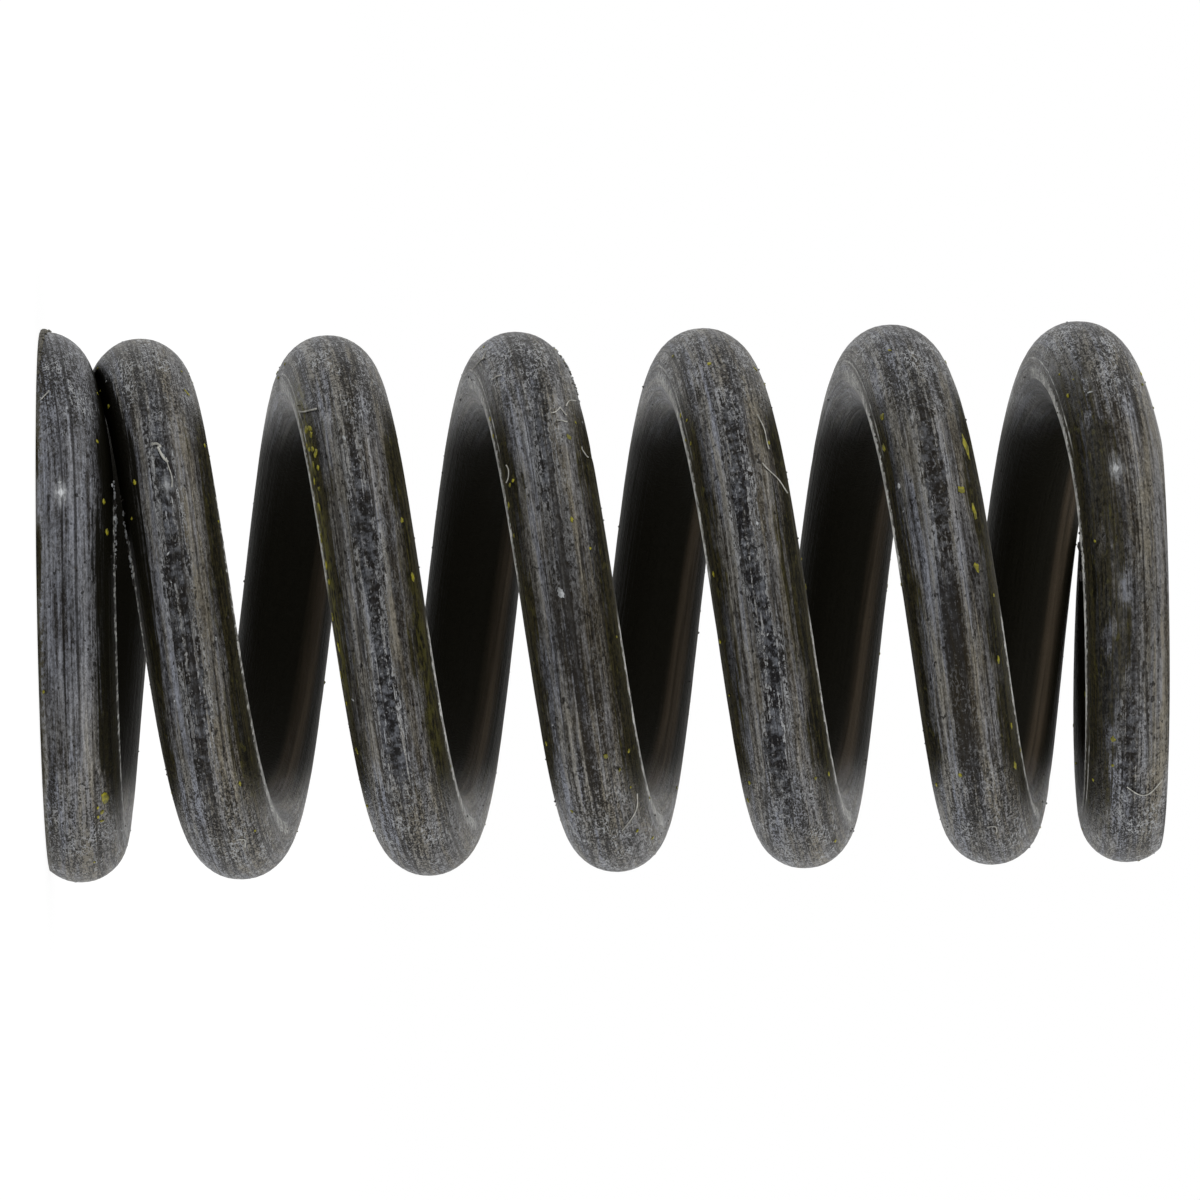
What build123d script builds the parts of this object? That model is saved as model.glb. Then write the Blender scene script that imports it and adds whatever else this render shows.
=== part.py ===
from build123d import *
import math
import os
from dataclasses import dataclass

# A compression spring that pushes a detent ball or plunger: one length of round steel wire,
# wound right-handed, with both ends closed and ground flat. It stands on its base end, with
# the coil's axis on Z and the ground base at Z = 0. Sizes are in millimetres and angles in
# degrees. Turns are counted along the wire's centre line from the tip at the base.

# Overall sizes
wire_diameter = 1.20
outer_diameter = 7.00
free_length = 14.30
total_turns = 6.82
base_tip_angle = 169.0  # where the wire starts, round Z from +X
contact_clearance = 0.04  # left between each tip and the coil that it bears on
points_per_turn = 24  # on the centre line, where the pitch changes


@dataclass
class CoilEnd:
    """How one end is closed. Depths go in from the ground face, turns from the wire's tip."""

    tip_depth: float  # of the wire's centre at the tip, below 0 where over half is ground off
    tip_follow: float  # 1 where the tip runs along the next coil, 0 where it lies flat
    tip_turns: float  # that the tip runs along the next coil
    tip_easing: float  # turns over which it settles to the flat pitch after that
    flat_pitch: float  # of the closed coil between its tip and its opening
    opening_turns: float  # over which the closed coil opens to the active pitch
    tip_flare: float  # how far the tip springs out of the coil's own radius
    flare_turns: float  # over which the flare fades


base_end = CoilEnd(
    tip_depth=-0.05,
    tip_follow=1.0,
    tip_turns=0.18,
    tip_easing=0.10,
    flat_pitch=0.02,
    opening_turns=0.50,
    tip_flare=0.12,
    flare_turns=0.22,
)
top_end = CoilEnd(
    tip_depth=0.20,
    tip_follow=0.5,
    tip_turns=0.14,
    tip_easing=0.28,
    flat_pitch=0.19,
    opening_turns=0.20,
    tip_flare=0.0,
    flare_turns=0.20,
)

# Worked out from the sizes above
wire_radius = wire_diameter / 2
coil_radius = outer_diameter / 2 - wire_radius
contact_rise = wire_diameter + contact_clearance
closed_turns = 2  # one at each end, from the tip to the coil that it bears on
closed_length = base_end.tip_depth + top_end.tip_depth + closed_turns * contact_rise
active_pitch = (free_length - closed_length) / (total_turns - closed_turns)


def eased_rise(turns, start, width):
    """Rise at a slope that eases from 0 at start to 1 at start + width, and stays 1."""
    share = min(max((turns - start) / width, 0), 1)
    return width * (share**3 - share**4 / 2) + max(turns - start - width, 0)


def opening_start(end):
    """Turn where the closed coil opens, so that a full turn from the tip is one contact rise."""
    spread = (contact_rise - end.flat_pitch) / (active_pitch - end.flat_pitch)
    return 1 + end.tip_follow * end.tip_turns - end.opening_turns / 2 - spread


def opened_turn(end):
    """Turn, from the tip, where the coil has reached the active pitch."""
    return opening_start(end) + end.opening_turns


def centre_depth(end, turns):
    """Depth of the wire's centre below the ground face, that many turns from its tip."""
    settling = eased_rise(turns, end.tip_turns - end.tip_easing / 2, end.tip_easing)
    tip_rise = end.tip_follow * (turns - settling)
    open_rise = eased_rise(turns, opening_start(end), end.opening_turns)
    steepening = active_pitch - end.flat_pitch
    return end.tip_depth + end.flat_pitch * turns + steepening * (tip_rise + open_rise)


def centre_radius(end, turns):
    """Radius of the wire's centre line, with the tip's flare."""
    share = min(turns / end.flare_turns, 1)
    return coil_radius + end.tip_flare * (1 - share) ** 2 * (1 + 2 * share)


def place(turns, radius, height):
    """Point of the centre line, that many turns from the base tip."""
    angle = math.radians(base_tip_angle) + math.tau * turns
    return Vector(radius * math.cos(angle), radius * math.sin(angle), height)


def heading(turns, radius, pitch):
    """Centre line's derivative by turns, where its radius is steady."""
    angle = math.radians(base_tip_angle) + math.tau * turns
    run = math.tau * radius
    return Vector(-run * math.sin(angle), run * math.cos(angle), pitch)


def end_line(end, at_top):
    """Centre line from the tip to where the coil has opened, as a curve up the spring."""
    opened = opened_turn(end)
    count = math.ceil(opened * points_per_turn)
    from_tip = [opened * step / count for step in range(count + 1)]
    tip_pitch = end.flat_pitch + end.tip_follow * (active_pitch - end.flat_pitch)
    pitches = [tip_pitch, active_pitch]
    if at_top:
        from_tip.reverse()
        pitches.reverse()
    radii = [centre_radius(end, turns) for turns in from_tip]
    depths = [centre_depth(end, turns) for turns in from_tip]
    along = [total_turns - turns if at_top else turns for turns in from_tip]
    heights = [free_length - depth if at_top else depth for depth in depths]
    return Edge.make_spline(
        [place(*values) for values in zip(along, radii, heights)],
        tangents=[heading(along[i], radii[i], pitches[i]) for i in (0, -1)],
        parameters=along,
        scale=False,
    )


def active_line():
    """Centre line of the active coils, a helix of even pitch between the two ends."""
    start = opened_turn(base_end)
    turns = total_turns - start - opened_turn(top_end)
    helix = Helix(pitch=active_pitch, height=active_pitch * turns, radius=coil_radius)
    start_angle = base_tip_angle + 360 * start
    return Pos(Z=centre_depth(base_end, start)) * Rot(Z=start_angle) * helix


def wire_section(plane):
    """Round section of the wire, in four arcs so that no face wraps all the way round it."""
    quarters = [CenterArc((0, 0), wire_radius, 90 * quarter, 90) for quarter in range(4)]
    return plane * make_face(quarters)


def wound_wire():
    """The wire as it comes off the coiling machine, before its ends are ground."""
    centre_line = Wire([end_line(base_end, False), active_line().edge(), end_line(top_end, True)])
    section = wire_section(Plane(origin=centre_line @ 0, z_dir=centre_line % 0))
    return sweep(section, path=centre_line, is_frenet=True)


def ground_spring():
    """The spring with its base ground at Z = 0 and its top ground at the free length."""
    base_ground = split(wound_wire(), bisect_by=Plane.XY, keep=Keep.TOP)
    return split(base_ground, bisect_by=Plane.XY.offset(free_length), keep=Keep.BOTTOM)


spring = ground_spring()
inner_diameter = outer_diameter - 2 * wire_diameter
print(f"active pitch {active_pitch:.3f}, inside diameter {inner_diameter:.2f}")
print(f"opened after {opened_turn(base_end):.3f} turns at the base, {opened_turn(top_end):.3f} at the top")

os.makedirs("parts", exist_ok=True)
export_step(spring, "parts/detent_spring.step")
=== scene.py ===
import math
import random
from contextlib import contextmanager
from typing import NamedTuple

import bmesh
import bpy
import numpy as np
from bpy.props import FloatProperty, FloatVectorProperty, IntProperty, PointerProperty
from mathutils import Matrix, Vector, noise


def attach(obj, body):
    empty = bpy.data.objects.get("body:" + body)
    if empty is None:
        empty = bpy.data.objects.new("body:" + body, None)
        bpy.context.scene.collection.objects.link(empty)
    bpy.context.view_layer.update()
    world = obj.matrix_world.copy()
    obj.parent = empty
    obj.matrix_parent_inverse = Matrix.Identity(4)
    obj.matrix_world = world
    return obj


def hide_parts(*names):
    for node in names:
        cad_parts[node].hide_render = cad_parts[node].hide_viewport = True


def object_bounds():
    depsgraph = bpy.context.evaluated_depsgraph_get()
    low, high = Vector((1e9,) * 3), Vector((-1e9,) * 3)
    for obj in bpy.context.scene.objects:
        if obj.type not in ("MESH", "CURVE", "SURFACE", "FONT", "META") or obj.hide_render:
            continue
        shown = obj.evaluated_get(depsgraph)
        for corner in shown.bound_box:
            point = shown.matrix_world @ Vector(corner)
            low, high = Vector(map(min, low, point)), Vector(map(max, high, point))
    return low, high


bl_info = {
    "name": "Detent spring",
    "version": (1, 0, 0),
    "blender": (4, 5, 0),
    "location": "View3D > Sidebar > Spring",
    "description": "A compression spring with closed, ground ends, of dark drawn wire with dirt",
    "category": "Add Mesh",
}

# Lengths are in metres and turns are counted along the wire from its tip at the base.
# Around is the angle round the wire's own section, from the side that faces out of the coil
# towards the spring's top end.

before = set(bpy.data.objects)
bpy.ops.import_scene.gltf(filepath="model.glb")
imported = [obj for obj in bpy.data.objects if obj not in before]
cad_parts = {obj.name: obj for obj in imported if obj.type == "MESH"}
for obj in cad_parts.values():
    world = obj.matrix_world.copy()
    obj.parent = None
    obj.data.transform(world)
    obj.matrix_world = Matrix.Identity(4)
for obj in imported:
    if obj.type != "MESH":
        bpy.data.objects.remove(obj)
CAD_LOW, CAD_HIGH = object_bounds()

MM = 0.001
BODY = "root"
PLACE = "wire_place"  # where a point of the wire was before it was wound
FRONT_TURN = 0.2806  # turn where the wire first faces the camera
GUIDE_POINTS = 6001  # points of the curve that the wire is wound along
HALF_WIDTH = 3.5 * MM  # from the axis to the outside of the coils
FIBRE_RISE = 0.02 * MM  # how far the ends of a lint fibre stand up
BURR_CRUMBS = 90  # along the ground edge at the base tip
SHOULDER_SPECKS, SHOULDER_SCALE = 44, 26  # pale and dark crumbs on the rough shoulder
GRIT_END = 6.8  # turn where the scattered grit stops


class CoilEnd(NamedTuple):
    """How one end is closed. Depths go in from the ground face, turns from the wire's tip."""

    tip_depth: float
    tip_follow: float
    tip_turns: float
    tip_easing: float
    flat_pitch: float
    opening_turns: float
    tip_flare: float
    flare_turns: float


BASE_END = CoilEnd(-0.05 * MM, 1.0, 0.18, 0.10, 0.02 * MM, 0.50, 0.12 * MM, 0.22)
TOP_END = CoilEnd(0.20 * MM, 0.5, 0.14, 0.28, 0.19 * MM, 0.20, 0.0, 0.20)


def length_setting(name, description, default):
    """A property for a length, shown in the scene's unit."""
    return FloatProperty(name=name, description=description, default=default, unit="LENGTH")


def colour_setting(name, description, default):
    """A property for a surface's colour."""
    return FloatVectorProperty(
        name=name, description=description, default=default, size=3, min=0, max=1, subtype="COLOR"
    )


def share_setting(name, description, default):
    """A property that runs from none to all."""
    return FloatProperty(
        name=name, description=description, default=default, min=0, max=1, subtype="FACTOR"
    )


def number_setting(name, description, default):
    """A property for a plain number."""
    return FloatProperty(name=name, description=description, default=default)


def angle_setting(name, description, degrees):
    """A property for an angle, shown in degrees."""
    return FloatProperty(
        name=name, description=description, default=math.radians(degrees), unit="ROTATION"
    )


def count_setting(name, description, default, least=0, most=9999):
    """A property for a whole number."""
    return IntProperty(name=name, description=description, default=default, min=least, max=most)


class SpringSizes(bpy.types.PropertyGroup):
    """Sizes of the wound wire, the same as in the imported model."""

    wire_diameter: length_setting("Wire diameter", "Thickness of the wire", 1.20 * MM)
    outer_diameter: length_setting("Outer diameter", "Across the coils", 2 * HALF_WIDTH)
    free_length: length_setting(
        "Free length", "Height from the ground base to the ground top", CAD_HIGH.z - CAD_LOW.z
    )
    total_turns: number_setting("Turns", "Turns of wire from tip to tip", 6.82)
    base_tip_angle: angle_setting("Base tip angle", "Where the wire starts, round Z from X", 169)
    contact_clearance: length_setting(
        "Contact clearance", "Left between each tip and the coil it bears on", 0.04 * MM
    )
    sides: count_setting("Sides", "Faces round the wire's section", 44, least=12)
    rough_cuts: count_setting("Rough cuts", "First cuts along the straight wire", 44, most=100)
    fine_cuts: count_setting("Fine cuts", "Cuts in each of the first lengths", 46, most=100)
    nicks: count_setting("Nicks", "Small dents along the wire", 130)


class SteelFinish(bpy.types.PropertyGroup):
    """Colours of the drawn wire and of its ground ends."""

    pale_steel: colour_setting("Pale steel", "Rubbed streaks of the wire", (0.241, 0.253, 0.290))
    dark_steel: colour_setting("Dark steel", "Between the streaks", (0.020, 0.0185, 0.017))
    warm_tint: colour_setting("Warm tint", "Brown cast on one side", (0.87, 0.82, 0.72))
    brown_cast: colour_setting("Brown cast", "In streaks", (1.0, 0.92, 0.73))
    track_dark: colour_setting("Track hollows", "In the rough tool track", (0.010, 0.010, 0.011))
    track_pale: colour_setting("Track ripples", "In the rough tool track", (0.120, 0.127, 0.142))
    # Brown film on the flanks, darkened as painted shade where the coils face each other
    flank: colour_setting("Flank film", "Brown film beside the coils", (0.041, 0.035, 0.0155))
    # Painted shade: near black, where the coils touch and in the darkest parts of the flanks
    flank_deep_shade: colour_setting("Deep film", "Where the film is thick", (0.0045, 0.004, 0.002))
    # Painted shade on the inside of the coil
    inside: colour_setting("Inside film", "Oily film inside the coil", (0.010, 0.009, 0.0055))
    # Painted highlight along the inside of the coil
    inside_highlight: colour_setting("Inside streak", "Rubbed line inside", (0.115, 0.088, 0.060))
    pits: colour_setting("Pits", "Small pits in the surface", (0.010, 0.009, 0.008))
    # Frost colours real bright crystals, and also the painted glints
    frost_and_glint: colour_setting("Frost", "Small bright crystals of bare steel", (0.45, 0.46, 0.47))
    paint_film: colour_setting("Paint film", "Thin olive smear of paint", (0.130, 0.120, 0.030))
    ground: colour_setting("Ground steel", "Freshly ground end faces", (0.38, 0.38, 0.37))
    ground_dark: colour_setting("Grinding lines", "Scratches in the end faces", (0.15, 0.15, 0.15))
    # Painted reflection along the coils' outline, standing in for bright light glancing off the
    # edge
    painted_rim_light: colour_setting("Rim", "Pale line along the outline", (1.0, 1.0, 0.95))
    roughness: share_setting("Roughness", "Of the rubbed wire", 0.36)


class DirtFinish(bpy.types.PropertyGroup):
    """Colours and counts of what lies on the wire."""

    yellow_paint: colour_setting("Yellow paint", "Flecks of paint", (0.41, 0.37, 0.010))
    olive_paint: colour_setting("Olive paint", "Dirty flecks of paint", (0.16, 0.15, 0.012))
    pale_speck: colour_setting("Pale speck", "Specks of pale dust", (0.62, 0.64, 0.65))
    lint: colour_setting("Lint", "Fibres of cloth", (0.70, 0.69, 0.63))
    grit: colour_setting("Grit", "Crumbs of black dirt", (0.014, 0.012, 0.010))
    burr: colour_setting("Burr", "Torn steel on the ground edge", (0.150, 0.135, 0.090))
    small_flecks: count_setting("Small flecks", "Scattered flecks of paint", 140)
    small_crumbs: count_setting("Small crumbs", "Scattered crumbs of grit", 420)
    small_specks: count_setting("Small specks", "Scattered pale specks", 60)
    fibre_diameter: length_setting("Fibre", "Thickness of a lint fibre", 0.015 * MM)
    seed: count_setting("Seed", "Number that the scatter starts from", 7)


class StageSetting(bpy.types.PropertyGroup):
    """Camera, lamps and floor."""

    camera_distance: length_setting("Camera distance", "From the spring's middle", 157.5 * MM)
    camera_lens: number_setting("Lens", "Focal length in millimetres", 366.3)
    camera_yaw: angle_setting("Yaw", "How far the camera stands towards the base", 0.74)
    camera_tilt: angle_setting("Tilt", "How far the axis rises in the picture", 1.1)
    aim_rise: length_setting("Aim rise", "Aim above the axis in the picture", 0.0155 * MM)
    room_level: number_setting("Room level", "Soft light from all round", 0.50)
    side_lamp: number_setting("Side lamps", "Power of each side lamp in watts", 0.10)
    top_lamp: number_setting("Top lamp", "Power of the lamp overhead in watts", 0.06)


class Wired:
    """A node's output in a material, used as a number or a colour in plain Python sums."""

    def __init__(self, tree, output=None):
        self.tree = tree
        self.output = output

    def node(self, kind, inputs=None, output=0, **settings):
        """Add a node: its settings go in first, then the values or links of its inputs."""
        made = self.tree.nodes.new(kind)
        for name, value in settings.items():
            setattr(made, name, value)
        for key, value in (inputs or {}).items():
            if isinstance(value, Wired):
                self.tree.links.new(value.output, made.inputs[key])
            else:
                made.inputs[key].default_value = value
        return Wired(self.tree, made.outputs[output])

    def math(self, operation, *values):
        """A Math node on these values."""
        return self.node("ShaderNodeMath", dict(enumerate(values)), operation=operation)

    def __add__(self, other):
        return self.math("ADD", self, other)

    __radd__ = __add__

    def __sub__(self, other):
        return self.math("SUBTRACT", self, other)

    def __rsub__(self, other):
        return self.math("SUBTRACT", other, self)

    def __mul__(self, other):
        return self.math("MULTIPLY", self, other)

    __rmul__ = __mul__

    def __abs__(self):
        return self.math("ABSOLUTE", self)

    def ease(self, low, high):
        """0 at low and 1 at high, eased between them. High may be the smaller one."""
        return self.node(
            "ShaderNodeMapRange",
            {"Value": self, "From Min": low, "From Max": high},
            interpolation_type="SMOOTHSTEP",
        )

    def stretched(self, across, up, out):
        """This vector with each of its parts scaled."""
        scale = {0: self, 1: (across, up, out)}
        return self.node("ShaderNodeVectorMath", scale, operation="MULTIPLY")

    def parts(self):
        """This vector's X, Y and Z."""
        split = self.node("ShaderNodeSeparateXYZ", {0: self}).output.node
        return [Wired(self.tree, output) for output in split.outputs]

    def cloud(self, detail=2, roughness=0.5):
        """Noise at this vector, about 0.5."""
        wanted = {"Vector": self, "Scale": 1, "Detail": detail, "Roughness": roughness}
        return self.node("ShaderNodeTexNoise", wanted)


def mixed(tree, share, first, second, blend="MIX"):
    """Two colours mixed by share, from the first to the second."""
    wanted = {0: share, 6: first, 7: second}
    return tree.node("ShaderNodeMix", wanted, output=2, data_type="RGBA", blend_type=blend)


def solid(colour):
    """A property's colour with its alpha."""
    return (*colour, 1)


def new_material(name):
    """An empty material. Returns it with its node tree and its shader."""
    made = bpy.data.materials.new(name)
    made.use_nodes = True
    tree = made.node_tree
    shader = tree.nodes["Principled BSDF"]
    return made, Wired(tree), shader


def plug(value, socket):
    """Link a wired value to a socket."""
    value.tree.links.new(value.output, socket)


def bumped(height, distance):
    """A normal from a height between 0 and 1."""
    return height.node("ShaderNodeBump", {"Height": height, "Distance": distance})


def places_in_mm(tree):
    """Where a point lies on its object, in millimetres."""
    place = tree.node("ShaderNodeTexCoord", output="Object")
    return place.stretched(1 / MM, 1 / MM, 1 / MM)


class CentreLine:
    """The wire's centre line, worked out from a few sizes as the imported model's is."""

    def __init__(self, sizes):
        self.wire_radius = sizes.wire_diameter / 2
        self.coil_radius = sizes.outer_diameter / 2 - self.wire_radius
        self.contact_rise = sizes.wire_diameter + sizes.contact_clearance
        self.free_length = sizes.free_length
        self.total_turns = sizes.total_turns
        self.base_tip_angle = sizes.base_tip_angle
        closed = BASE_END.tip_depth + TOP_END.tip_depth + 2 * self.contact_rise
        self.active_pitch = (self.free_length - closed) / (self.total_turns - 2)

    def opening_start(self, end):
        """Turn where a closed coil opens, so that a full turn from the tip is one contact rise."""
        spread = (self.contact_rise - end.flat_pitch) / (self.active_pitch - end.flat_pitch)
        return 1 + end.tip_follow * end.tip_turns - end.opening_turns / 2 - spread

    def depth(self, end, turns):
        """Depth of the centre line below the ground face, that many turns from its tip."""
        settling = eased_rise(turns, end.tip_turns - end.tip_easing / 2, end.tip_easing)
        tip_rise = end.tip_follow * (turns - settling)
        open_rise = eased_rise(turns, self.opening_start(end), end.opening_turns)
        steepening = self.active_pitch - end.flat_pitch
        return end.tip_depth + end.flat_pitch * turns + steepening * (tip_rise + open_rise)

    def radius(self, end, turns):
        """Radius of the centre line, with the tip's flare."""
        share = np.minimum(turns / end.flare_turns, 1)
        return self.coil_radius + end.tip_flare * (1 - share) ** 2 * (1 + 2 * share)

    def points(self, turns):
        """Points of the centre line at these turns from the base tip."""
        turns = np.asarray(turns, dtype=float)
        left = self.total_turns - turns
        low = turns < left
        height = np.where(
            low, self.depth(BASE_END, turns), self.free_length - self.depth(TOP_END, left)
        )
        radius = np.where(low, self.radius(BASE_END, turns), self.radius(TOP_END, left))
        angle = self.base_tip_angle + math.tau * turns
        return np.stack([radius * np.cos(angle), radius * np.sin(angle), height], axis=-1)

    def frames(self, turns):
        """Directions at these turns: along the wire, out of the coil, and towards the top."""
        step = 1e-4
        along = unit(self.points(turns + step) - self.points(turns - step))
        angle = self.base_tip_angle + math.tau * np.asarray(turns)
        out = np.stack([np.cos(angle), np.sin(angle), 0 * angle], axis=-1)
        out = unit(out - along * (out * along).sum(-1, keepdims=True))
        return along, out, np.cross(out, along)

    def per_turn(self):
        """Length of wire in one active turn."""
        return math.hypot(math.tau * self.coil_radius, self.active_pitch)

    def surface(self, turns, around, lift):
        """Points on the wire's surface, or that far above it."""
        _, out, up = self.frames(turns)
        normal = np.cos(around)[..., None] * out + np.sin(around)[..., None] * up
        return self.points(turns) + normal * (self.wire_radius + lift)[..., None]


def eased_rise(turns, start, width):
    """Rise at a slope that eases from 0 at start to 1 at start + width, and stays 1."""
    share = np.clip((turns - start) / width, 0, 1)
    return width * (share**3 - share**4 / 2) + np.maximum(turns - start - width, 0)


def unit(vectors):
    """Vectors of length one."""
    return vectors / np.linalg.norm(vectors, axis=-1, keepdims=True)


def pick(piece):
    """Make this the only selected object, and the active one."""
    bpy.ops.object.select_all(action="DESELECT")
    piece.select_set(True)
    bpy.context.view_layer.objects.active = piece


@contextmanager
def editing(piece):
    """Edit mode on this object."""
    pick(piece)
    bpy.ops.object.mode_set(mode="EDIT")
    yield
    bpy.ops.object.mode_set(mode="OBJECT")


def select_in_mesh(piece, kind, wanted):
    """In edit mode, select just the edges or faces that the test picks."""
    bpy.ops.mesh.select_mode(type=kind)
    bpy.ops.mesh.select_all(action="DESELECT")
    shape = bmesh.from_edit_mesh(piece.data)
    for part in shape.edges if kind == "EDGE" else shape.faces:
        if wanted(part):
            part.select_set(True)
    bmesh.update_edit_mesh(piece.data)


def crisp_selected():
    """Shade the selected faces flat and keep the edge round them sharp."""
    bpy.ops.mesh.faces_shade_flat()
    bpy.ops.mesh.region_to_loop()
    bpy.ops.mesh.mark_sharp()


def new_object(name, data):
    """A new object in the scene."""
    made = bpy.data.objects.new(name, data)
    bpy.context.collection.objects.link(made)
    return made


def new_curve(name, count):
    """A curve with one run of so many points, and those points."""
    path = bpy.data.curves.new(name, "CURVE")
    path.dimensions = "3D"
    run = path.splines.new("POLY")
    run.points.add(count - 1)
    return path, run.points


def vertex_places(mesh):
    """All of a mesh's vertices as rows of numbers."""
    flat = np.empty(len(mesh.vertices) * 3, dtype=np.float32)
    mesh.vertices.foreach_get("co", flat)
    return flat.reshape(-1, 3).astype(float)


def move_vertices(mesh, places):
    """Put a mesh's vertices at these places."""
    mesh.vertices.foreach_set("co", places.astype(np.float32).ravel())
    mesh.update()


def straight_wire(sizes, length):
    """The wire before it is wound: a bar along X, cut into short rings."""
    bpy.ops.object.select_all(action="DESELECT")
    bpy.ops.mesh.primitive_cylinder_add(
        vertices=sizes.sides,
        radius=sizes.wire_diameter / 2,
        depth=length,
        location=(length / 2, 0, 0),
        rotation=(0, math.pi / 2, 0),
    )
    wire = bpy.context.object
    wire.name = wire.data.name = "spring_wire"
    bpy.ops.object.transform_apply(location=True, rotation=True, scale=True)

    def lengthwise(edge):
        return abs(edge.verts[0].co.x - edge.verts[1].co.x) > MM / 100

    with editing(wire):
        for cuts in (sizes.rough_cuts, sizes.fine_cuts):
            select_in_mesh(wire, "EDGE", lengthwise)
            bpy.ops.mesh.subdivide(number_cuts=cuts)
        bpy.ops.mesh.select_all(action="SELECT")
        bpy.ops.mesh.faces_shade_smooth()
    return wire


def keep_places(wire):
    """Store where each vertex is on the straight wire, for the material's streaks."""
    kept = wire.data.attributes.new(PLACE, "FLOAT_VECTOR", "POINT")
    kept.data.foreach_set("vector", vertex_places(wire.data).astype(np.float32).ravel())


class Nick(NamedTuple):
    """A small dent in the wire."""

    along: float
    around: float
    size: float
    depth: float


def scattered_nicks(chance, length, count):
    """Dents at random places, most of them on the outside of the coil."""
    return [
        Nick(
            chance.uniform(0, length),
            chance.gauss(0, 0.9),
            chance.uniform(0.07, 0.22) * MM,
            chance.uniform(0.003, 0.010) * MM,
        )
        for _ in range(count)
    ]


def press_marks(wire, radius, nicks):
    """Press the drawing, coiling and handling marks into the straight wire."""
    places = vertex_places(wire.data)
    along, out, up = places[:, 0], -places[:, 1], places[:, 2]
    around = np.arctan2(up, out)
    inward = np.zeros(len(places))
    for i, (x, y, z) in enumerate(places / MM):
        waves = noise.noise(Vector((x * 0.4, y * 1.3, z * 1.3)))
        lumps = noise.noise(Vector((x * 2.6, y * 3.1, z * 3.1)))
        ripple = noise.noise(Vector((x * 7.0, y * 1.5, z * 1.5)))
        rub = max(0.0, 1 - (around[i] / 0.30) ** 2)
        inward[i] = (0.0030 * waves + 0.0022 * lumps + rub * (0.0035 + 0.0030 * ripple)) * MM
    for nick in nicks:
        near = np.abs(along - nick.along) < 2 * nick.size
        gap = np.hypot(along[near] - nick.along, (around[near] - nick.around) * radius)
        inward[near] += nick.depth * np.exp(-((gap / nick.size) ** 2) * 2)
    whole = np.hypot(out, up)
    scale = np.where(whole > 0.9 * radius, 1 - inward / radius, 1)
    places[:, 1:] *= scale[:, None]
    move_vertices(wire.data, places)


def guide_curve(places):
    """A curve through the centre line, which the straight wire is wound along."""
    path, points = new_curve("centre_line", len(places))
    path.twist_mode = "Z_UP"
    points.foreach_set("co", np.column_stack([places, np.ones(len(places))]).ravel())
    return new_object("centre_line", path)


def wind(wire, guide):
    """Bend the straight wire along its guide."""
    pick(wire)
    bpy.ops.object.modifier_add(type="CURVE")
    bend = wire.modifiers[-1]
    bend.object = guide
    bend.deform_axis = "POS_X"
    bpy.ops.object.modifier_apply(modifier=bend.name)
    bpy.data.objects.remove(guide)


def grind(wire, height, below):
    """Grind an end flat at this height, from below or from above, and keep its edge crisp."""

    def ground(face):
        return abs(face.calc_center_median().z - height) < MM / 1000 and abs(face.normal.z) > 0.99

    with editing(wire):
        bpy.ops.mesh.select_all(action="SELECT")
        bpy.ops.mesh.bisect(
            plane_co=(0, 0, height),
            plane_no=(0, 0, 1),
            use_fill=True,
            clear_inner=below,
            clear_outer=not below,
            threshold=1e-7,
        )
        select_in_mesh(wire, "FACE", ground)
        wire.active_material_index = 1
        bpy.ops.object.material_slot_assign()
        crisp_selected()


def crisp_tips(wire):
    """Keep the edges of the wire's two cut tips crisp."""
    with editing(wire):
        select_in_mesh(wire, "FACE", lambda face: len(face.verts) > 8)
        crisp_selected()
        bpy.ops.mesh.select_all(action="SELECT")
        bpy.ops.mesh.normals_make_consistent(inside=False)


# Painted glints, small painted highlights: turns past the first coil's front, radians around, and
# strength
PAINTED_GLINTS = ((0.008, -0.10, 1), (1, -0.05, 0.5), (6, -0.17, 0.7))
PAINTED_GLINT_RISE = 27  # degrees that a glint lies above its coil's front line


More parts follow.
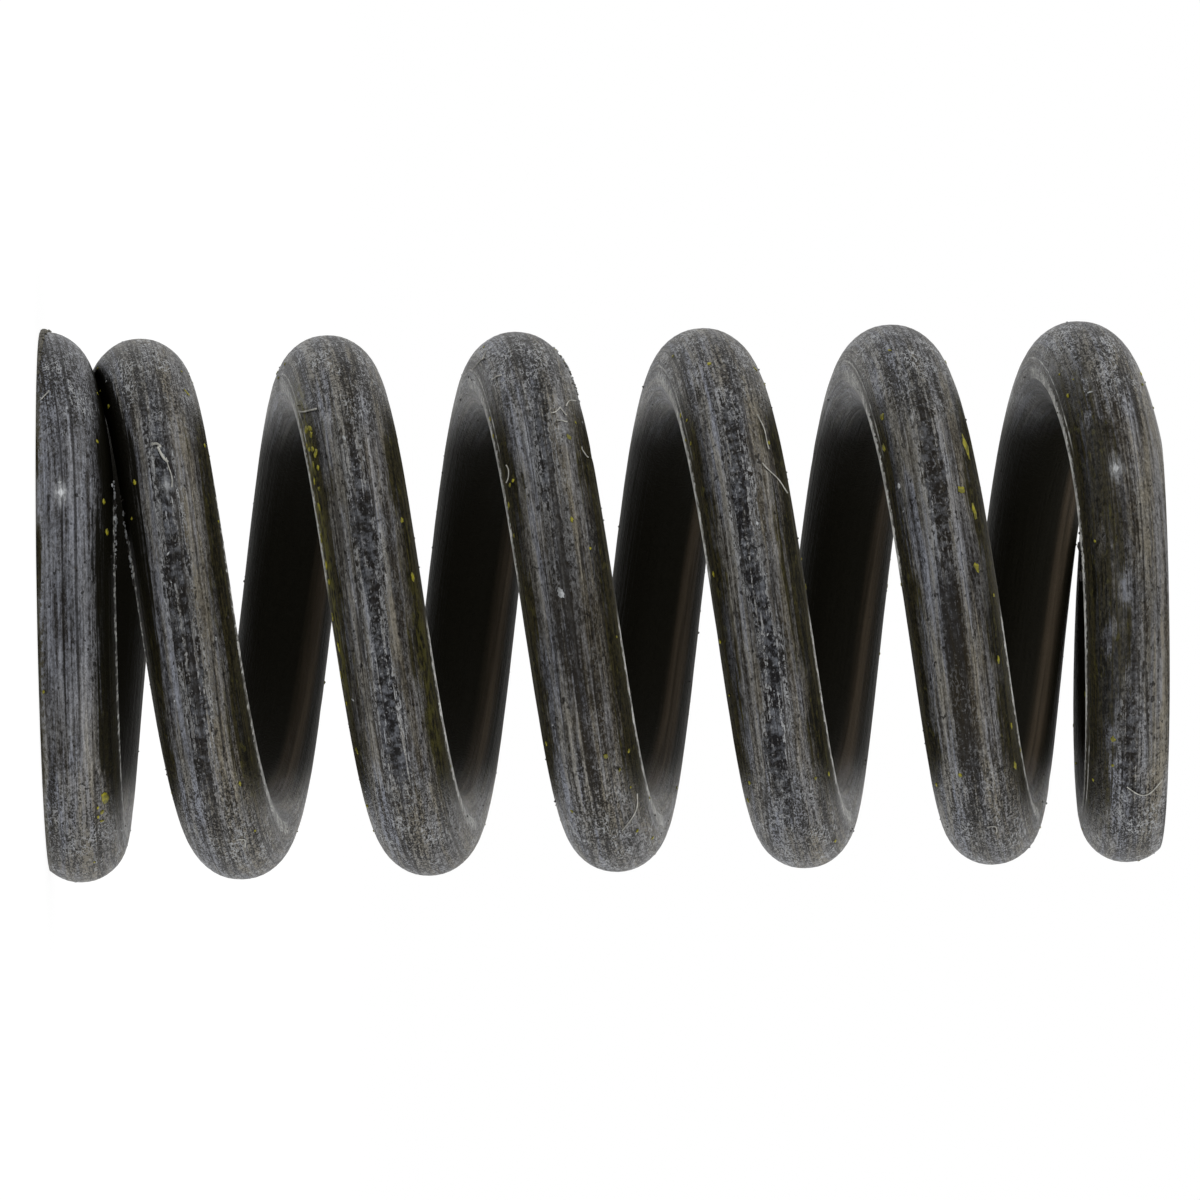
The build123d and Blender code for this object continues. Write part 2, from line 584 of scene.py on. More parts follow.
def steel_material(finish, turn_length):
    """Drawn wire: streaks along it, a rough tool track outside, brown film with painted shade on
    its flanks, painted shade inside, and painted highlights and rim reflections.
    """
    made, tree, shader = new_material("drawn_steel")
    stored = tree.node("ShaderNodeAttribute", output="Vector", attribute_name=PLACE)
    place = stored.stretched(1 / MM, 1 / MM, 1 / MM)

    def patches(along, across, low, high, *look):
        """Noise with so many waves in a millimetre along and across the wire, eased."""
        return place.stretched(along, across, across).cloud(*look).ease(low, high)

    def veins(along, across, wide, narrow, *look):
        """Thin lines, where such a noise is about one half."""
        return abs(place.stretched(along, across, across).cloud(*look) - 0.5).ease(wide, narrow)

    # Where a point is on the wire and in the spring
    along, inward, up = place.parts()
    across, back, height = tree.node("ShaderNodeTexCoord", output="Object").parts()
    around = tree.math("ARCTAN2", up, inward * -1)
    steep = abs(around)
    turns = along * (MM / turn_length)
    side = across * (1 / HALF_WIDTH)
    front = back.ease(0.2 * MM, -0.2 * MM)
    # Ends marks where the coils turn up and down along X, low the +X side. More contrast, paler
    # frost, a lift in tone towards +X and less flank film there are painted light
    ends = abs(side).ease(0.55, 0.92)
    low = side.ease(0.42, 0.80)
    bare = abs(side).ease(0.55, 0.85)
    to_base = around.ease(0.1, -0.1)
    to_top = 1 - to_base
    first_coil = turns.ease(0.42, 0.30)

    # Noises that the colours and the relief share
    fine = patches(0.8, 22, 0.36, 0.64, 3, 0.65)
    lines = patches(0.22, 9, 0.36, 0.64)
    bands = patches(0.14, 3.4, 0.30, 0.70)
    grain = patches(15, 23, 0.36, 0.64, 3, 0.75)
    clouds = patches(1.4, 2.2, 0.30, 0.70, 3)
    chatter = patches(11, 9, 0.42, 0.70, 3, 0.65)
    brushed = patches(2.2, 44, 0.38, 0.62, 2, 0.6)
    frosting = patches(34, 46, 0.38, 0.62, 1, 0.6)
    flecked = patches(19, 27, 0.43, 0.57, 2, 0.7)
    pitted = patches(12, 15, 0.65, 0.70)
    worms = veins(8, 14, 0.045, 0.012, 2, 0.6) * patches(2.4, 4, 0.47, 0.60)
    cracks = veins(6, 13, 0.042, 0.012, 2, 0.6)
    hair = veins(0.10, 5, 0.012, 0.003, 1)

    # The coiling tool's track along the outside, with its hollow and its pale fringe
    presence = patches(0.17, 0, 0.36, 0.56, 1) * turns.ease(0.85, 1.05)
    drift = place.stretched(0.3, 0, 0).cloud(1)
    middle = abs(around - (drift * 0.6 - 0.34))
    hollow = (middle + (lines - 0.5) * 0.15).ease(0.46, 0.08)
    hollow = hollow * (1 - ends) * (0.3 + 0.7 * turns.ease(0.5, 1.0))
    ragged = (grain - 0.5) * 0.10 + (fine - 0.5) * 0.16 + (clouds - 0.5) * 0.12
    track = (middle + ragged).ease(0.27, 0.08) * presence * (1 - ends * 0.7)
    fringe = abs(middle + ragged * 1.3 - 0.25).ease(0.07, 0.02) * presence
    fringe = fringe * (1 - ends) * (0.15 + 0.35 * grain)

    # Where the flanks are dark: brown oily film with painted shade between the coils, painted
    # shade deepest where the coils touch (contact_shade), less of it where the coils turn away
    # along X as painted light, and a stain near the top end
    contact_shade = to_top * abs(turns - 0.1).ease(0.45, 0.15)
    contact_shade = contact_shade + to_base * abs(turns - 1.1).ease(0.30, 0.12)
    edge = steep + (fine - 0.5) * 0.26 + (lines - 0.5) * 0.14 + (clouds - 0.5) * 0.26
    film = (edge + 0.06 + to_top * 0.08 + contact_shade * (0.12 - ends * 0.50)).ease(0.74, 1.00)
    film = film * (1 - bare * (1 - contact_shade)) * (1 - to_top * turns.ease(6.02, 6.10) * 0.8)
    stain = to_base * turns.ease(5.85, 6.05) * (edge + (clouds - 0.5) * 0.4).ease(0.30, 0.55)
    stain = stain * (0.65 + 0.30 * fine) * (1 - abs(side).ease(0.72, 0.97))
    film = tree.math("MAXIMUM", film, stain)

    # Painted reflection: a pale line along the far outline of the coils, on the half towards the
    # camera, where a dark coil lies behind, broken into dashes
    # The closed slits where the coils touch, which get painted shade and no rim line
    slit = to_top * abs(turns - 0.09).ease(0.125, 0.112)
    slit = slit + to_base * abs(turns - 1.09).ease(0.15, 0.13)
    rim_light_backing = (side * around).ease(0.0, 0.22) + turns.ease(1.5, 1.35) * side.ease(-0.55, -0.45)
    rim_light_backing = rim_light_backing + turns.ease(5.9, 6.0) * to_base * side.ease(0.85, 0.76)
    rim_light_backing = rim_light_backing.ease(0, 1) * front * (1 - slit)
    outline = steep - side * side * 0.28
    rim_light_dashes = patches(6, 3, 0.40, 0.60)
    rim_light_gaps = patches(16, 3, 0.46, 0.52, 1) * turns.ease(1.45, 1.35)
    painted_rim_light = (outline + (grain - 0.5) * 0.12).ease(1.31, 1.37) * (1 - outline.ease(1.60, 1.64))
    painted_rim_light = painted_rim_light * rim_light_backing * (0.52 + 0.48 * rim_light_dashes) * (1 - rim_light_gaps * 0.8)
    # A second painted reflection line, a little inside the outline, on the base side
    second = abs(outline - 1.15 + (lines - 0.5) * 0.05).ease(0.030, 0.010) * rim_light_backing * to_base
    second = second * abs(side).ease(0.48, 0.62) * abs(side).ease(0.97, 0.88)
    painted_rim_light = tree.math("MAXIMUM", painted_rim_light, second * (0.2 + 0.7 * rim_light_dashes)) * (1 - ends * 0.6 * flecked)

    # Bare steel in streaks. The extra contrast and frost where the coils turn away along X, and
    # the lift towards +X, are painted light
    tone = fine * 0.28 + lines * 0.19 + bands * 0.14 + grain * 0.20 + clouds * 0.12
    tone = (tone + frosting * 0.07 - 0.5) * (1 + ends * 0.75 + low * 0.5) + 0.5
    tone = tone + (frosting - 0.5) * (ends * 0.46 + low * 0.22) - hollow * 0.30
    tone = tone + (brushed - 0.5) * (0.06 + ends * 0.40 + low * 0.10)
    tone = tone + (flecked - 0.5) * (ends * 0.12 + low * 0.18) + side.ease(0.45, 0.95) * 0.20
    dark, pits, frost_and_glint = (solid(tint) for tint in (finish.dark_steel, finish.pits, finish.frost_and_glint))
    colour = mixed(tree, tone.ease(0.12, 0.92), dark, solid(finish.pale_steel))
    cast = patches(0.5, 8, 0.40, 0.60, 3, 0.7) * (1 - first_coil * 0.85)
    colour = mixed(tree, cast, colour, solid(finish.brown_cast), blend="MULTIPLY")
    warmth = (around + clouds * 0.8 + bands * 0.4).ease(0.1, 1.2) * (1 - first_coil * 0.6)
    colour = mixed(tree, warmth, colour, solid(finish.warm_tint), blend="MULTIPLY")

    # What marks the steel, each over the ones before it. Crystals and pale worms gather where the
    # coils turn away along X, partly real and partly painted light, and the glints at the end are
    # painted highlights
    ripples = mixed(tree, chatter, solid(finish.track_dark), solid(finish.track_pale))
    crystals = patches(24, 30, 0.60, 0.72, 1) * (ends * 0.50 + track * 0.20 + 0.09)
    smear = abs(around + 1.25).ease(0.36, 0.12) * abs(turns - 2.22).ease(0.16, 0.08)
    beside = abs(around - 0.98).ease(0.30, 0.10) * abs(turns - 2.33).ease(0.09, 0.03)
    smear = (smear + beside * 0.5) * patches(7, 18, 0.44, 0.58, 3) * 0.8
    scratch = abs(around - 0.21 + (lines - 0.5) * 0.03).ease(0.036, 0.012)
    scratch = scratch + abs(around + 0.08 - (bands - 0.5) * 0.05).ease(0.032, 0.010)
    # Darker, in the flank colour, within about 0.085 mm of the base face
    base_edge_darkening = (height + (grain - 0.5) * (0.06 * MM)).ease(0.085 * MM, 0.02 * MM)
    marks = [
        (track * 0.85, ripples),
        (fringe, frost_and_glint),
        (crystals, frost_and_glint),
        (cracks * (0.28 + ends * 0.62), pits),
        (worms * (0.10 + ends * 0.80), frost_and_glint),
        (hair * (0.7 - first_coil * 0.4), dark),
        (pitted * 0.8, pits),
        (smear, solid(finish.paint_film)),
        (scratch * first_coil * 0.75, pits),
        (base_edge_darkening * (0.4 + 0.5 * clouds), solid(finish.flank)),
    ]
    # Painted highlights: a bright spot with a soft halo for each painted glint
    for coil, where, strength in PAINTED_GLINTS:
        spot = abs(turns - (FRONT_TURN + coil - PAINTED_GLINT_RISE / 360)) * 95 + abs(around - where) * 4.5
        painted_glint_halo = (spot + (fine - 0.5) * 0.7).ease(1.3, 0.0) * (0.35 + 0.35 * grain)
        marks.append((tree.math("MAXIMUM", painted_glint_halo, spot.ease(0.45, 0.2)) * strength, frost_and_glint))
    for share, over in marks:
        colour = mixed(tree, share, colour, over)

    relief = fine * 0.5 + lines * 0.5 + grain * 0.45 + track * chatter * 0.8
    relief = relief - pitted * 0.5 - hair * 0.5 + frosting * (0.3 + low * 0.4)
    relief = relief + (worms - cracks) * ends * (0.5 + low * 0.4)
    normal = bumped(relief, 0.007 * MM)
    plug(colour, shader.inputs["Base Color"])
    plug(finish.roughness + (grain - 0.5) * 0.12 + track * 0.08, shader.inputs["Roughness"])
    plug(normal, shader.inputs["Normal"])
    shader.inputs["Metallic"].default_value = 1

    # The flank colour: brown film darkened as painted shade on the flanks, painted shade nearly
    # black inside the coil, and a painted highlight along the inside there
    deep = (fine * 0.6 + grain * 0.5 + steep.ease(0.9, 1.3) * 0.3).ease(0.2, 1.1)
    # Painted shade: the inside of the coil, nearly black
    inside = (steep + (clouds - 0.5) * 0.3).ease(1.35, 1.9)
    # Painted highlight: a warm line along the inside, from the second coil on
    rubbed = abs(around - 2.42).ease(0.34, 0.05) * turns.ease(1.1, 1.4) * 0.8
    olive = patches(7, 15, 0.58, 0.68, 3, 0.6) * steep.ease(1.35, 1.15) * 0.35 * (1 - contact_shade)
    # Where deep is low, and where the coils touch, the flanks take the near black painted shade;
    # elsewhere the brown film
    oil = mixed(tree, deep * (1 - contact_shade), solid(finish.flank_deep_shade), solid(finish.flank))
    for share, over in (
        (inside, finish.inside),
        (rubbed * (0.3 + 0.5 * lines + 0.2 * fine), finish.inside_highlight),
        (tree.math("MAXIMUM", olive, smear), finish.paint_film),
    ):
        oil = mixed(tree, share, oil, solid(over))
    dull = mixed(tree, film.ease(0.0, 0.5), colour, oil)
    dull = mixed(tree, painted_rim_light, dull, solid(finish.painted_rim_light))
    wanted = {"Base Color": dull, "Roughness": 0.5, "Specular IOR Level": 0.05, "Normal": normal}
    coating = tree.node("ShaderNodeBsdfPrincipled", wanted)
    # Painted shade: a dark matt shader in the closed slits on the half towards the camera, where
    # the coils touch
    slit_shade_shader = tree.node("ShaderNodeBsdfDiffuse", {"Color": solid(finish.flank_deep_shade)})
    # The dull coating covers the film and the painted rim, and in part the coils where they turn
    # away along X, which darkens their glancing edges there by position
    covered = tree.math("MAXIMUM", tree.math("MAXIMUM", film, painted_rim_light), ends * 0.6)
    painted_slit_shade = slit * steep.ease(0.95, 1.25) * front
    shown = Wired(tree.tree, shader.outputs[0])
    for share, over in ((covered, coating), (painted_slit_shade, slit_shade_shader)):
        shown = tree.node("ShaderNodeMixShader", {0: share, 1: shown, 2: over})
    plug(shown, tree.tree.nodes["Material Output"].inputs["Surface"])
    return made


def ground_material(finish):
    """Ground end face: fine darker lines the way the wheel ran."""
    made, tree, shader = new_material("ground_steel")
    place = places_in_mm(tree)
    lines = place.stretched(1.0, 26, 3).cloud(detail=3, roughness=0.65)
    broad = place.stretched(0.6, 4, 2).cloud(detail=2)
    tone = (lines * 1.4 + broad * 0.7 - 0.55).ease(0.1, 0.9)
    colour = mixed(tree, tone, solid(finish.ground_dark), solid(finish.ground))
    plug(colour, shader.inputs["Base Color"])
    shader.inputs["Metallic"].default_value = 1
    plug(0.30 + lines * 0.25, shader.inputs["Roughness"])
    plug(bumped(lines, 0.004 * MM), shader.inputs["Normal"])
    return made


class SPRING_OT_wind_wire(bpy.types.Operator):
    """Make the wire straight, mark it, wind it along its centre line and grind its ends"""

    bl_idname = "spring.wind_wire"
    bl_label = "Wind the wire"

    def execute(self, context):
        sizes = context.scene.spring_sizes
        line = CentreLine(sizes)
        points = line.points(np.linspace(0, line.total_turns, GUIDE_POINTS))
        length = float(np.linalg.norm(np.diff(points, axis=0), axis=1).sum())
        wire = straight_wire(sizes, length)
        keep_places(wire)
        chance = random.Random(context.scene.spring_dirt.seed)
        press_marks(wire, line.wire_radius, scattered_nicks(chance, length, sizes.nicks))
        wind(wire, guide_curve(points))
        finish = context.scene.spring_steel
        wire.data.materials.append(steel_material(finish, line.per_turn()))
        wire.data.materials.append(ground_material(finish))
        crisp_tips(wire)
        grind(wire, 0, True)
        grind(wire, line.free_length, False)
        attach(wire, BODY)
        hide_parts("detent_spring")
        return {"FINISHED"}


class Mark(NamedTuple):
    """Where a small thing lies on the wire, its size along and across, and how it is turned."""

    turns: float
    around: float
    long: float
    wide: float
    twist: float = 0.0


def coil_mark(coil, below, around, long, wide, twist=0.0):
    """A mark on a coil's front, that many degrees below the line nearest to the camera."""
    turns = FRONT_TURN + coil - 1 + below / 360
    return Mark(turns, math.radians(around), long * MM, wide * MM, math.radians(twist))


def left_by_grinding(line, marks):
    """The marks that lie on the wire that grinding leaves, clear of both end faces."""
    turns = np.array([mark.turns for mark in marks])
    around = np.array([mark.around for mark in marks])
    margin = np.array([max(mark.long, mark.wide) for mark in marks])
    height = line.surface(turns, around, 0 * turns)[:, 2]
    kept = (height > margin) & (height < line.free_length - margin)
    return [mark for mark, keep in zip(marks, kept) if keep]


def laid_on_wire(line, shape, mark, sink=0.0):
    """Points of a small flat thing of unit size, moved onto the wire's surface."""
    cos, sin = math.cos(mark.twist), math.sin(mark.twist)
    x, y = shape[:, 0] * mark.long / 2, shape[:, 1] * mark.wide / 2
    along, across = x * cos - y * sin, x * sin + y * cos
    turns = mark.turns + along / line.per_turn()
    around = mark.around + across / line.wire_radius
    return line.surface(turns, around, shape[:, 2] - sink)


def model_flake():
    """A flake of unit size: an uneven disc with a rounded top and a closed underside."""
    bpy.ops.object.select_all(action="DESELECT")
    bpy.ops.mesh.primitive_circle_add(vertices=10, radius=1, fill_type="NGON")
    flake = bpy.context.object
    with editing(flake):
        bpy.ops.mesh.select_all(action="SELECT")
        bpy.ops.mesh.extrude_region_move(TRANSFORM_OT_translate={"value": (0, 0, 0.6)})
        bpy.ops.mesh.inset(thickness=0.22)
        bpy.ops.transform.translate(value=(0, 0, 0.4))
        bpy.ops.mesh.poke()
        bpy.ops.mesh.select_all(action="SELECT")
        bpy.ops.mesh.normals_make_consistent(inside=False)
    return flake


def model_crumb():
    """A crumb of unit size: a rounded lump with flat facets."""
    bpy.ops.object.select_all(action="DESELECT")
    bpy.ops.mesh.primitive_ico_sphere_add(subdivisions=1, radius=1)
    crumb = bpy.context.object
    with editing(crumb):
        bpy.ops.mesh.select_all(action="SELECT")
        bpy.ops.transform.resize(value=(1, 1, 0.8))
    return crumb


def take_shape(model):
    """Vertices and sorted faces of a small model, which is then removed."""
    places = vertex_places(model.data)
    faces = sorted(tuple(face.vertices) for face in model.data.polygons)
    bpy.data.objects.remove(model)
    return places, faces


def joined_piece(name, bodies, material, smooth=True):
    """One object from many (places, faces) bodies, each closed by itself."""
    all_places, all_faces, count = [], [], 0
    for places, faces in bodies:
        all_places.append(places)
        all_faces += [tuple(count + corner for corner in face) for face in faces]
        count += len(places)
    mesh = bpy.data.meshes.new(name)
    mesh.from_pydata(np.concatenate(all_places).tolist(), [], all_faces)
    mesh.materials.append(material)
    piece = new_object(name, mesh)
    pick(piece)
    if smooth:
        bpy.ops.object.shade_smooth()
    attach(piece, BODY)
    return piece


def uneven(chance, places, amount):
    """Places pushed about a little, each corner by its own amount."""
    push = [[chance.uniform(-amount, amount) for _ in range(3)] for _ in places]
    return places * (1 + np.array(push))


def flake_bodies(line, chance, marks, thickness):
    """A flake for each mark, thin and bent to the wire."""
    places, faces = take_shape(model_flake())
    bodies = []
    for mark in left_by_grinding(line, marks):
        shape = uneven(chance, places, 0.55)
        shape[:, 2] = places[:, 2] * thickness
        bodies.append((laid_on_wire(line, shape, mark, sink=0.004 * MM), faces))
    return bodies


def crumb_bodies(line, chance, marks, clear_of_ends=True):
    """A crumb for each mark, as high as it is wide and partly sunk in the dirt."""
    places, faces = take_shape(model_crumb())
    bodies = []
    for mark in left_by_grinding(line, marks) if clear_of_ends else marks:
        shape = uneven(chance, places, 0.30)
        shape[:, 2] *= mark.wide / 2
        bodies.append((laid_on_wire(line, shape, mark, sink=-0.15 * mark.wide), faces))
    return bodies


def speckled_material(name, first, second, roughness, scale=14.0):
    """A dull finish of two colours in small patches."""
    made, tree, shader = new_material(name)
    patches = places_in_mm(tree).stretched(scale, scale, scale).cloud(detail=3, roughness=0.6)
    colour = mixed(tree, patches.ease(0.38, 0.62), solid(first), solid(second))
    plug(colour, shader.inputs["Base Color"])
    plug(roughness + (patches - 0.5) * 0.3, shader.inputs["Roughness"])
    plug(bumped(patches, 0.006 * MM), shader.inputs["Normal"])
    return made


# Flecks that stand out: coil, degrees below its front line, degrees around, length and width in
# mm, and degrees that it is turned
PAINT_FLECKS = [
    (1, 45, 40, 0.21, 0.12, 10), (1, 49, 36, 0.07, 0.05, 40), (1, 50, 30, 0.05, 0.03),
    (1, 52, 35, 0.06, 0.03, 60), (1, 47, 30, 0.04, 0.03), (2, -59, -72, 0.09, 0.06, 15),
    (1, -58, 62, 0.05, 0.04), (1, -25, 52, 0.06, 0.05), (2, -30, -44, 0.07, 0.05, 20),
    (1, -18, 58, 0.07, 0.06, -20), (2, -55, 44, 0.09, 0.03, 50), (3, -47, -66, 0.12, 0.09, 10),
    (3, -44, -58, 0.07, 0.05), (3, -41, -68, 0.08, 0.05, 30), (3, -38, -55, 0.08, 0.07, -10),
    (3, -34, -55, 0.06, 0.04), (3, -32, -68, 0.09, 0.03), (3, -25, -66, 0.09, 0.05, 15),
    (3, -46, -58, 0.10, 0.05, 25), (3, -43, -72, 0.09, 0.05, -10), (3, -40, -60, 0.07, 0.05, 35),
    (3, -36, -64, 0.10, 0.04, 5), (3, -29, -60, 0.06, 0.04, 20), (3, -18, -74, 0.10, 0.04, 5),
    (3, 1, -74, 0.10, 0.04, -5), (3, 15, -75, 0.11, 0.04, 5), (3, -11, -70, 0.12, 0.04),
    (3, -7, -68, 0.06, 0.04), (3, 8, -68, 0.10, 0.05, 10), (3, 22, -70, 0.07, 0.04),
    (3, 34, -62, 0.08, 0.07, -15), (3, -5, 56, 0.10, 0.06, 15), (3, -18, 50, 0.06, 0.05),
    (4, -53, -80, 0.08, 0.04, 10), (4, -47, -82, 0.06, 0.05), (4, -29, -60, 0.06, 0.05, 20),
    (4, -25, -72, 0.10, 0.05, -10), (4, -37, 30, 0.07, 0.06, 30), (4, -17, 17, 0.06, 0.04),
    (4, 35, 20, 0.06, 0.05, 20), (4, 51, -35, 0.05, 0.04), (4, 63, 44, 0.05, 0.04),
    (4, 37, 55, 0.05, 0.04), (5, -60, -15, 0.06, 0.05, 30), (5, -62, 50, 0.07, 0.05, 60),
    (5, -7, -64, 0.06, 0.04), (5, 44, 40, 0.05, 0.04), (6, -34, 52, 0.26, 0.10, 8),
    (6, -22, 30, 0.10, 0.09, 35), (6, -17, 46, 0.18, 0.07, 5), (6, -5, 36, 0.10, 0.06, 25),
    (6, 16, 52, 0.08, 0.04), (6, 33, 62, 0.09, 0.03), (6, 44, 58, 0.11, 0.05, 10),
    (6, 41, -18, 0.05, 0.05), (6, -46, -56, 0.08, 0.07), (6, -38, -66, 0.11, 0.06, 20),
    (7, -52, -56, 0.06, 0.05), (7, 33, -28, 0.07, 0.06), (7, 40, -28, 0.04, 0.04),
    (7, 48, -58, 0.05, 0.03),
]

# Pale specks that stand out, in the same form. The speck (1, -28, -7) is the pale core of the
# first painted glint, a painted highlight
PALE_SPECKS = [
    (2, -36, -6, 0.06, 0.035, 60), (2, -34, -2, 0.07, 0.025, 30), (4, -2, -8, 0.11, 0.08, 20),
    (6, -26, -50, 0.07, 0.06), (1, -28, -7, 0.035, 0.04), (3, -38, -12, 0.07, 0.03, 30),
    (7, -62, -30, 0.05, 0.02, 80), (7, -48, -25, 0.07, 0.02, 85),
]


def scatter_start(context, step):
    """The dirt's settings, the wire's centre line, and this step's own source of chance."""
    dirt = context.scene.spring_dirt
    return dirt, CentreLine(context.scene.spring_sizes), random.Random(dirt.seed + step)


def scattered_flakes(chance, line, number, sizes, around, longest, twist):
    """Flakes at random places. Around is a mean angle, either way unless 0, and its spread."""
    marks = []
    for _ in range(number):
        side = chance.choice((-1, 1)) if around[0] else 1
        size = chance.uniform(*sizes) * MM
        marks.append(
            Mark(
                chance.uniform(0.1, line.total_turns - 0.1),
                side * math.radians(chance.gauss(*around)),
                size * chance.uniform(1, longest),
                size,
                chance.uniform(-twist, twist),
            )
        )
    return marks


class SPRING_OT_drop_paint(bpy.types.Operator):
    """Lay the yellow paint flecks on the flanks of the coils"""

    bl_idname = "spring.drop_paint"
    bl_label = "Drop the paint flecks"

    def execute(self, context):
        dirt, line, chance = scatter_start(context, 1)
        marks = [coil_mark(*fleck) for fleck in PAINT_FLECKS]
        small, sizes = dirt.small_flecks, (0.018, 0.045)
        marks += scattered_flakes(chance, line, small, sizes, (63, 21), 2, 0.6)
        paint = speckled_material("yellow_paint", dirt.yellow_paint, dirt.olive_paint, 0.55)
        joined_piece("paint_flecks", flake_bodies(line, chance, marks, 0.012 * MM), paint)
        return {"FINISHED"}


def shoulder_marks(chance, count):
    """Places for torn scale on the rough right shoulder of the fourth coil."""
    marks = []
    for _ in range(count):
        below = chance.uniform(-84, -58)
        around = math.radians(62 + (84 + below) * 0.45 + chance.gauss(0, 7))
        size = chance.uniform(0.016, 0.044) * MM
        marks.append(Mark(FRONT_TURN + 3 + below / 360, around, size * 1.3, size))
    return marks


# Trails of crumbs in the closed slits: first and last degree past the first coil's front line,
# degrees around and their spread, least and most size in mm, and how many
CRUMB_TRAILS = [
    (-28, -20, 88, 4, 0.030, 0.055, 9),
    (-20, -8, 86, 4, 0.016, 0.036, 16),
    (328, 352, -86, 4, 0.016, 0.036, 16),
    (350, 352, -84, 2, 0.040, 0.060, 2),
    (2143, 2157, -88, 5, 0.016, 0.036, 10),
    (2147, 2149, -98, 2, 0.080, 0.090, 2),
    (2155, 2156, -98, 2, 0.080, 0.090, 2),
]

# Bright torn fragments along both edges of the first slit, in the same form
SLIT_FRAGMENTS = [
    (-34, -26, 83, 3, 0.024, 0.050, 10),
    (-27.5, -21, 91, 3, 0.025, 0.070, 16),
    (-22, -9, 89, 3, 0.020, 0.046, 18),
    (333, 351, -88, 3, 0.022, 0.050, 20),
]


def trail_marks(chance, trails):
    """Places for crumbs along these trails."""
    marks = []
    for first, last, where, spread, least, most, number in trails:
        for _ in range(number):
            size = chance.uniform(least, most) * MM
            turns = FRONT_TURN + chance.uniform(first, last) / 360
            marks.append(Mark(turns, math.radians(chance.gauss(where, spread)), size * 1.4, size))
    return marks


class SPRING_OT_drop_specks(bpy.types.Operator):
    """Lay the pale specks of dust, and the pale crumbs in the slit and on the rough shoulder"""

    bl_idname = "spring.drop_specks"
    bl_label = "Drop the pale specks"

    def execute(self, context):
        dirt, line, chance = scatter_start(context, 2)
        marks = [coil_mark(*speck) for speck in PALE_SPECKS]
        small, sizes = dirt.small_specks, (0.012, 0.026)
        marks += scattered_flakes(chance, line, small, sizes, (0, 40), 2.5, 1.5)
        shaded = tuple(0.5 * part for part in dirt.pale_speck)
        dust = speckled_material("pale_dust", dirt.pale_speck, shaded, 0.7)
        caught = trail_marks(chance, SLIT_FRAGMENTS) + shoulder_marks(chance, SHOULDER_SPECKS)
        bodies = flake_bodies(line, chance, marks, 0.010 * MM)
        joined_piece("pale_specks", bodies + crumb_bodies(line, chance, caught), dust)
        return {"FINISHED"}


class SPRING_OT_drop_grit(bpy.types.Operator):
    """Lay black crumbs on the coils and in the closed slits at the ends"""

    bl_idname = "spring.drop_grit"
    bl_label = "Drop the grit"

    def execute(self, context):
        dirt, line, chance = scatter_start(context, 3)
        marks = []
        for _ in range(dirt.small_crumbs):
            size = chance.uniform(0.010, 0.030) * MM
            spread = chance.choice((14, 14, 14, 60))
            around = math.radians(chance.choice((-1, 1)) * chance.gauss(86, spread))
            marks.append(Mark(chance.uniform(0.05, GRIT_END), around, size * 1.3, size))
        marks += trail_marks(chance, CRUMB_TRAILS)
        brown = tuple(2.5 * part for part in dirt.grit)
        grit = speckled_material("black_grit", dirt.grit, brown, 0.75)
        joined_piece("grit", crumb_bodies(line, chance, marks), grit, smooth=False)
        return {"FINISHED"}


class SPRING_OT_raise_burr(bpy.types.Operator):
    """Raise the torn burr along the ground edge at the base tip, and scale on a rough shoulder"""

    bl_idname = "spring.raise_burr"
    bl_label = "Raise the burr"

    def execute(self, context):
        dirt, line, chance = scatter_start(context, 4)
        marks = []
        for share in (step / BURR_CRUMBS for step in range(BURR_CRUMBS)):
            turns = 0.004 + 0.11 * share + chance.uniform(0, 0.002)
            depth = float(line.depth(BASE_END, turns))
            edge = -math.asin(min(depth / line.wire_radius, 0.99))
            size = chance.uniform(0.030, 0.080) * MM * (1 - 0.45 * share)
            around = edge + chance.uniform(0, 0.14) * (1 - share) + size / line.wire_radius / 2
            marks.append(Mark(turns, around, size * 1.4, size))
        marks += shoulder_marks(chance, SHOULDER_SCALE)
        torn = speckled_material("torn_steel", dirt.grit, dirt.burr, 0.55, scale=40)
        bodies = crumb_bodies(line, chance, marks, clear_of_ends=False)
        joined_piece("grinding_burr", bodies, torn, smooth=False)
        return {"FINISHED"}


class Fibre(NamedTuple):
    """A lint fibre: its two ends on the wire, how far it bows sideways, and how thick it is."""

    turns: tuple
    around: tuple
    bow: float
    thick: float


def coil_fibre(coil, start, end, bow, thick=1):
    """A fibre on a coil's front, each end by degrees below its front line and degrees around."""
    turns = tuple(FRONT_TURN + coil - 1 + below / 360 for below in (start[0], end[0]))
    around = (math.radians(start[1]), math.radians(end[1]))
    return Fibre(turns, around, bow, thick)


